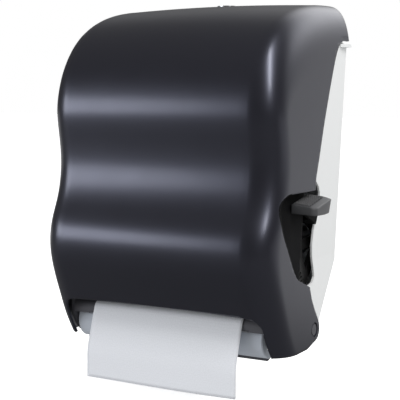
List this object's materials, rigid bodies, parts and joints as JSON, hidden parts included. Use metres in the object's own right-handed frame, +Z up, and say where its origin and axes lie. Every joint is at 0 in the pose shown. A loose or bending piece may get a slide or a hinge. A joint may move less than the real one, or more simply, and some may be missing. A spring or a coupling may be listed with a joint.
{
  "type": "lever paper towel dispenser",
  "caption": "Wall-mounted roll towel dispenser: waved dark hinged cover, white chassis with leaning sides, side lever geared to a feed roller, towel over a tear bar.",
  "frame": {"origin": "middle of the four wall screws, on the wall plane at the chassis' back face", "axes": "+Z up, -Y out of the wall toward the user, +X to the right as the user faces it"},
  "size_m": [0.338, 0.235, 0.466],
  "materials": {
    "cover_plastic": "satin pearl, dark",
    "white_plastic": "white moulded plastic",
    "dark_plastic": "dark moulded plastic",
    "grey_plastic": "pale blue-grey moulded plastic",
    "acetal": "natural acetal",
    "steel": "zinc-plated steel",
    "spring_steel": "spring wire",
    "rubber": "matte",
    "grip_rubber": "ridged",
    "paper": "embossed paper towel",
    "card": "kraft card"
  },
  "bodies": {
    "chassis": {"back_plate": "white_plastic", "side_wall_left": "white_plastic", "side_wall_right": "white_plastic", "hinge_pins": "dark_plastic", "lock_strike": "white_plastic", "roller_frame_left": "dark_plastic", "roller_frame_right": "dark_plastic", "gear_plate": "dark_plastic", "frame_screws": "steel", "shaft_bushes": "acetal", "base_tray": "dark_plastic", "paper_guide": "dark_plastic", "tear_bar": "dark_plastic", "tear_blade": "steel", "idler_axle": "steel", "lever_axle": "steel", "lever_bumper": "rubber", "arm_pins": "steel", "towel_sheet": "paper", "lever_spring": "spring_steel"},
    "cover_door": {"cover": "cover_plastic", "lock_barrel": "steel", "lock_nut": "steel"},
    "lock_turn": {"lock_plug": "steel", "lock_cam": "steel"},
    "lever": {"sector_gear": "dark_plastic", "lever_arm": "dark_plastic", "lever_pad": "dark_plastic", "pad_grip": "grip_rubber"},
    "idler": {"idler_gear": "dark_plastic"},
    "feed_roller": {"feed_drum": "grey_plastic", "feed_bands": "rubber", "feed_shaft": "steel", "drive_pinion": "acetal"},
    "pinch_roller": {"pinch_shaft": "steel", "pinch_rollers": "rubber"},
    "towel_supply": {"towel_roll": "paper", "roll_core": "card"},
    "left_arm": {"roll_arm_left": "white_plastic", "core_hub_left": "grey_plastic", "hub_collar_left": "grey_plastic"},
    "right_arm": {"roll_arm_right": "white_plastic", "core_hub_right": "grey_plastic", "hub_collar_right": "grey_plastic"}
  },
  "joints": [
    {"name": "cover_hinge", "type": "hinge", "parent": "chassis", "child": "cover_door", "pos_m": [0, -0.1016, -0.22], "axis": [1, 0, 0], "range_deg": [0, 100], "deforming": ["towel_sheet"]},
    {"name": "lock_turn", "type": "hinge", "parent": "cover_door", "child": "lock_turn", "pos_m": [0, -0.03, 0.16], "axis": [0, 0, 1], "range_deg": [-90, 0]},
    {"name": "lever_stroke", "type": "hinge", "parent": "chassis", "child": "lever", "pos_m": [0, -0.025, -0.115], "axis": [1, 0, 0], "range_deg": [0, 32], "stiffness_Nm_per_rad": 1.2, "springref_deg": -22.92},
    {"name": "idler_spin", "type": "hinge", "parent": "chassis", "child": "idler", "pos_m": [0, -0.11113, -0.19566], "axis": [1, 0, 0], "range_deg": [-58.41, 0.5]},
    {"name": "feed_spin", "type": "hinge", "parent": "chassis", "child": "feed_roller", "pos_m": [0, -0.16, -0.223], "axis": [1, 0, 0], "range_deg": [-0.5, 174.21]},
    {"name": "pinch_spin", "type": "hinge", "parent": "chassis", "child": "pinch_roller", "pos_m": [0, -0.15135, -0.19074], "axis": [1, 0, 0], "range_deg": [-478.21, 0.5]},
    {"name": "roll_spin", "type": "hinge", "parent": "chassis", "child": "towel_supply", "pos_m": [0, -0.107, 0.045], "axis": [1, 0, 0], "range_deg": [-46, 0.5]},
    {"name": "left_arm_swing", "type": "hinge", "parent": "chassis", "child": "left_arm", "pos_m": [-0.113, -0.0095, 0.045], "axis": [0, 0, -1], "range_deg": [0, 10], "stiffness_Nm_per_rad": 2, "springref_deg": -5.73},
    {"name": "right_arm_swing", "type": "hinge", "parent": "chassis", "child": "right_arm", "pos_m": [0.113, -0.0095, 0.045], "axis": [0, 0, 1], "range_deg": [0, 10], "stiffness_Nm_per_rad": 2, "springref_deg": -5.73}
  ],
  "couplings": [
    {"joint": "idler_spin", "follows": "lever_stroke", "ratio": -1.8095},
    {"joint": "feed_spin", "follows": "lever_stroke", "ratio": 5.4286},
    {"joint": "pinch_spin", "follows": "lever_stroke", "ratio": -14.929},
    {"joint": "roll_spin", "follows": "lever_stroke", "ratio": -1.4218}
  ]
}
